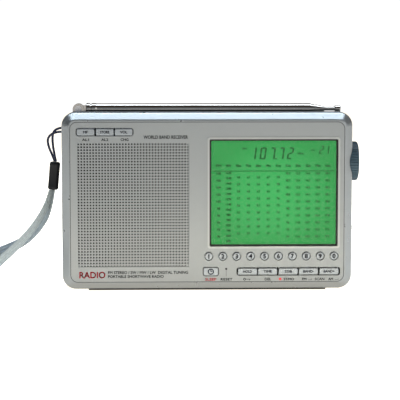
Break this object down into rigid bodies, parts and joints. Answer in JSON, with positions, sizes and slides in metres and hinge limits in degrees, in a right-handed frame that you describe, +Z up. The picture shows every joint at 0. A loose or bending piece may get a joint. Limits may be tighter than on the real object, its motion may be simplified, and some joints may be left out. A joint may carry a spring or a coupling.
{
  "type": "portable shortwave receiver",
  "caption": "Upright portable world-band radio with a large backlit display, perforated speaker panel, press keys, side tuning knob, folding telescopic aerial and a wrist strap.",
  "frame": {"origin": "centre of the underside of the foot pad that the radio stands on", "axes": "+Z up, -Y out of the face with the display and keys, +X to the right as seen from the front (tuning knob side)"},
  "size_m": [0.2665, 0.0303, 0.1067],
  "materials": {
    "face_silver": "fine metallic silver paint, satin",
    "case_silver": "metallic silver painted plastic, satin",
    "key_silver": "satin silver key caps",
    "bright_trim": "bright silver trim",
    "aerial_chrome": "polished chrome plate",
    "display_clear": "clear moulded window",
    "lcd_green": "green backlit liquid crystal cell",
    "black_plastic": "black moulded plastic",
    "knob_grip": "dark blue-grey ribbed plastic",
    "dark_rubber": "soft black rubber",
    "board_green": "solder-masked circuit board",
    "diffuser_white": "white light guide",
    "speaker_steel": "plated steel",
    "cone_paper": "black paper cone",
    "dust_cloth": "thin black cloth",
    "ferrite": "dark ferrite with copper winding",
    "screw_steel": "zinc plated steel",
    "contact_nickel": "nickel plated spring steel",
    "cell_wrap": "printed cell wrap",
    "cord_navy": "navy braided cord",
    "webbing_grey": "light grey woven webbing"
  },
  "bodies": {
    "case": {"backlight_panel": "diffuser_white", "batteries": "cell_wrap", "battery_contacts": "contact_nickel", "case_screws": "screw_steel", "control_boards": "board_green", "display_bezel": "bright_trim", "display_mask": "black_plastic", "display_window": "display_clear", "face_panel": "face_silver", "ferrite_aerial": "ferrite", "foot_pad": "dark_rubber", "front_cabinet": "case_silver", "jack_panel": "black_plastic", "keypad_rubber": "dark_rubber", "lcd_glass": "lcd_green", "main_board": "board_green", "power_jack": "black_plastic", "rear_cabinet": "case_silver", "side_control_bodies": "black_plastic", "speaker_cloth": "dust_cloth", "speaker_cone": "cone_paper", "speaker_frame": "speaker_steel", "speaker_grille": "face_silver", "strap_cord": "cord_navy", "strap_pin": "screw_steel", "strap_sleeve": "black_plastic", "strap_webbing": "webbing_grey"},
    "aerial_turret": {"aerial_base": "aerial_chrome", "aerial_pivot_screw": "screw_steel"},
    "aerial_1": {"aerial_section_1": "aerial_chrome"},
    "aerial_2": {"aerial_section_2": "aerial_chrome"},
    "aerial_3": {"aerial_section_3": "aerial_chrome"},
    "aerial_4": {"aerial_section_4": "aerial_chrome"},
    "aerial_5": {"aerial_section_5": "aerial_chrome"},
    "aerial_6": {"aerial_section_6": "aerial_chrome"},
    "key_0": {"key_0": "key_silver"},
    "key_1": {"key_1": "key_silver"},
    "key_2": {"key_2": "key_silver"},
    "key_3": {"key_3": "key_silver"},
    "key_4": {"key_4": "key_silver"},
    "key_5": {"key_5": "key_silver"},
    "key_6": {"key_6": "key_silver"},
    "key_7": {"key_7": "key_silver"},
    "key_8": {"key_8": "key_silver"},
    "key_9": {"key_9": "key_silver"},
    "key_band_down": {"key_band_down": "key_silver"},
    "key_band_up": {"key_band_up": "key_silver"},
    "key_hold": {"key_hold": "key_silver"},
    "key_mode": {"key_mode": "key_silver"},
    "key_power": {"key_power": "key_silver"},
    "key_sideband": {"key_sideband": "key_silver"},
    "key_store": {"key_store": "key_silver"},
    "key_time": {"key_time": "key_silver"},
    "key_volume": {"key_volume": "key_silver"},
    "tuning": {"tuning_knob": "knob_grip", "tuning_shaft": "screw_steel"},
    "fine_tune": {"fine_tune_wheel": "knob_grip"},
    "switch": {"sensitivity_switch": "knob_grip"},
    "door": {"battery_door": "case_silver"},
    "stand": {"stand": "case_silver"}
  },
  "joints": [
    {"name": "aerial_swivel", "type": "hinge", "parent": "case", "child": "aerial_turret", "pos_m": [-0.0738, 0.004, 0.1033], "axis": [0, 0, 1], "range_deg": [0, 180]},
    {"name": "aerial_tilt", "type": "hinge", "parent": "aerial_turret", "child": "aerial_1", "pos_m": [-0.0738, 0.004, 0.1033], "axis": [0, -1, 0], "range_deg": [0, 90]},
    {"name": "aerial_slide_2", "type": "slide", "parent": "aerial_1", "child": "aerial_2", "axis": [1, 0, 0], "range_m": [0, 0.105]},
    {"name": "aerial_slide_3", "type": "slide", "parent": "aerial_2", "child": "aerial_3", "axis": [1, 0, 0], "range_m": [0, 0.105]},
    {"name": "aerial_slide_4", "type": "slide", "parent": "aerial_3", "child": "aerial_4", "axis": [1, 0, 0], "range_m": [0, 0.105]},
    {"name": "aerial_slide_5", "type": "slide", "parent": "aerial_4", "child": "aerial_5", "axis": [1, 0, 0], "range_m": [0, 0.105]},
    {"name": "aerial_slide_6", "type": "slide", "parent": "aerial_5", "child": "aerial_6", "axis": [1, 0, 0], "range_m": [0, 0.105]},
    {"name": "key_0_press", "type": "slide", "parent": "case", "child": "key_0", "axis": [0, 1, 0], "range_m": [0, 0.0006], "stiffness_N_per_m": 1200},
    {"name": "key_1_press", "type": "slide", "parent": "case", "child": "key_1", "axis": [0, 1, 0], "range_m": [0, 0.0006], "stiffness_N_per_m": 1200},
    {"name": "key_2_press", "type": "slide", "parent": "case", "child": "key_2", "axis": [0, 1, 0], "range_m": [0, 0.0006], "stiffness_N_per_m": 1200},
    {"name": "key_3_press", "type": "slide", "parent": "case", "child": "key_3", "axis": [0, 1, 0], "range_m": [0, 0.0006], "stiffness_N_per_m": 1200},
    {"name": "key_4_press", "type": "slide", "parent": "case", "child": "key_4", "axis": [0, 1, 0], "range_m": [0, 0.0006], "stiffness_N_per_m": 1200},
    {"name": "key_5_press", "type": "slide", "parent": "case", "child": "key_5", "axis": [0, 1, 0], "range_m": [0, 0.0006], "stiffness_N_per_m": 1200},
    {"name": "key_6_press", "type": "slide", "parent": "case", "child": "key_6", "axis": [0, 1, 0], "range_m": [0, 0.0006], "stiffness_N_per_m": 1200},
    {"name": "key_7_press", "type": "slide", "parent": "case", "child": "key_7", "axis": [0, 1, 0], "range_m": [0, 0.0006], "stiffness_N_per_m": 1200},
    {"name": "key_8_press", "type": "slide", "parent": "case", "child": "key_8", "axis": [0, 1, 0], "range_m": [0, 0.0006], "stiffness_N_per_m": 1200},
    {"name": "key_9_press", "type": "slide", "parent": "case", "child": "key_9", "axis": [0, 1, 0], "range_m": [0, 0.0006], "stiffness_N_per_m": 1200},
    {"name": "key_band_down_press", "type": "slide", "parent": "case", "child": "key_band_down", "axis": [0, 1, 0], "range_m": [0, 0.0006], "stiffness_N_per_m": 1200},
    {"name": "key_band_up_press", "type": "slide", "parent": "case", "child": "key_band_up", "axis": [0, 1, 0], "range_m": [0, 0.0006], "stiffness_N_per_m": 1200},
    {"name": "key_hold_press", "type": "slide", "parent": "case", "child": "key_hold", "axis": [0, 1, 0], "range_m": [0, 0.0006], "stiffness_N_per_m": 1200},
    {"name": "key_mode_press", "type": "slide", "parent": "case", "child": "key_mode", "axis": [0, 1, 0], "range_m": [0, 0.0006], "stiffness_N_per_m": 1200},
    {"name": "key_power_press", "type": "slide", "parent": "case", "child": "key_power", "axis": [0, 1, 0], "range_m": [0, 0.0006], "stiffness_N_per_m": 1200},
    {"name": "key_sideband_press", "type": "slide", "parent": "case", "child": "key_sideband", "axis": [0, 1, 0], "range_m": [0, 0.0006], "stiffness_N_per_m": 1200},
    {"name": "key_store_press", "type": "slide", "parent": "case", "child": "key_store", "axis": [0, 1, 0], "range_m": [0, 0.0006], "stiffness_N_per_m": 1200},
    {"name": "key_time_press", "type": "slide", "parent": "case", "child": "key_time", "axis": [0, 1, 0], "range_m": [0, 0.0006], "stiffness_N_per_m": 1200},
    {"name": "key_volume_press", "type": "slide", "parent": "case", "child": "key_volume", "axis": [0, 1, 0], "range_m": [0, 0.0006], "stiffness_N_per_m": 1200},
    {"name": "tuning_knob_turn", "type": "hinge", "parent": "case", "child": "tuning", "pos_m": [0.083, 0, 0.0733], "axis": [1, 0, 0], "continuous": true},
    {"name": "fine_tune_turn", "type": "hinge", "parent": "case", "child": "fine_tune", "pos_m": [0.07675, -0.0034, 0.0351], "axis": [0, 1, 0], "range_deg": [-135, 135]},
    {"name": "sensitivity_slide", "type": "slide", "parent": "case", "child": "switch", "axis": [0, 0, 1], "range_m": [0, 0.0025]},
    {"name": "battery_door_hinge", "type": "hinge", "parent": "case", "child": "door", "pos_m": [0, 0.013, 0.0062], "axis": [-1, 0, 0], "range_deg": [0, 90]},
    {"name": "stand_hinge", "type": "hinge", "parent": "case", "child": "stand", "pos_m": [0, 0.01325, 0.0414], "axis": [-1, 0, 0], "range_deg": [0, 120]}
  ]
}
